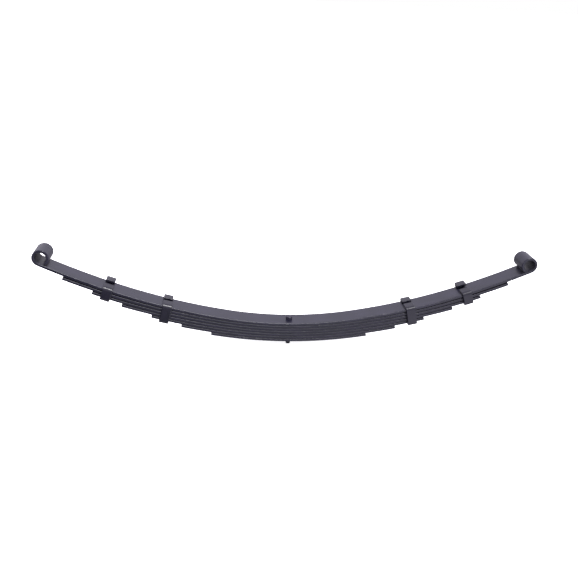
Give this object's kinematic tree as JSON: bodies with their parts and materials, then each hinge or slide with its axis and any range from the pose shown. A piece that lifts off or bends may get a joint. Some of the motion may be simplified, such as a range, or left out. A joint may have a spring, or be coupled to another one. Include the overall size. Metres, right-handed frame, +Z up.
{
  "type": "leaf spring",
  "caption": "Semi-elliptic multi-leaf spring with upturned open eyes, stepped square-cut leaves, folded rebound clips and a centre bolt.",
  "frame": {"origin": "on the centre-bolt axis, at the top face of the main leaf where the axle seats", "axes": "+X along the spring, +Y across the leaves and along the eye bores, +Z up, towards the eyes and out of the centre bolt's head"},
  "size_m": [1.0568, 0.0608, 0.2138],
  "materials": {
    "leaf_black": "satin",
    "clip_black": "satin",
    "fastener_black": "satin"
  },
  "bodies": {
    "root": {"main_leaf": "leaf_black", "leaf_2": "leaf_black", "leaf_3": "leaf_black", "leaf_4": "leaf_black", "leaf_5": "leaf_black", "leaf_6": "leaf_black", "leaf_7": "leaf_black", "centre_bolt": "fastener_black", "centre_bolt_nut": "fastener_black"},
    "left_inner_span": {"left_inner_clip": "clip_black", "left_inner_clip_rivet": "fastener_black"},
    "left_outer_span": {"left_outer_clip": "clip_black", "left_outer_clip_rivet": "fastener_black"},
    "right_inner_span": {"right_inner_clip": "clip_black", "right_inner_clip_rivet": "fastener_black"},
    "right_outer_span": {"right_outer_clip": "clip_black", "right_outer_clip_rivet": "fastener_black"}
  },
  "joints": [
    {"name": "left_flex", "type": "hinge", "parent": "root", "child": "left_inner_span", "pos_m": [-0.15282, 0, -0.00765], "axis": [0, -1, 0], "range_deg": [-2, 10], "stiffness_Nm_per_rad": 4490, "deforming": ["main_leaf", "leaf_2", "leaf_3", "leaf_4", "leaf_5", "leaf_6", "leaf_7"]},
    {"name": "left_outer_flex", "type": "hinge", "parent": "left_inner_span", "child": "left_outer_span", "pos_m": [-0.32386, 0, 0.0425], "axis": [0, -1, 0], "range_deg": [-1.25, 6.05]},
    {"name": "right_flex", "type": "hinge", "parent": "root", "child": "right_inner_span", "pos_m": [0.15282, 0, -0.00765], "axis": [0, 1, 0], "range_deg": [-2, 10], "stiffness_Nm_per_rad": 4490, "deforming": ["main_leaf", "leaf_2", "leaf_3", "leaf_4", "leaf_5", "leaf_6", "leaf_7"]},
    {"name": "right_outer_flex", "type": "hinge", "parent": "right_inner_span", "child": "right_outer_span", "pos_m": [0.32386, 0, 0.0425], "axis": [0, 1, 0], "range_deg": [-1.25, 6.05]}
  ],
  "couplings": [
    {"joint": "left_outer_flex", "follows": "left_flex", "ratio": 0.6},
    {"joint": "right_outer_flex", "follows": "right_flex", "ratio": 0.6}
  ]
}
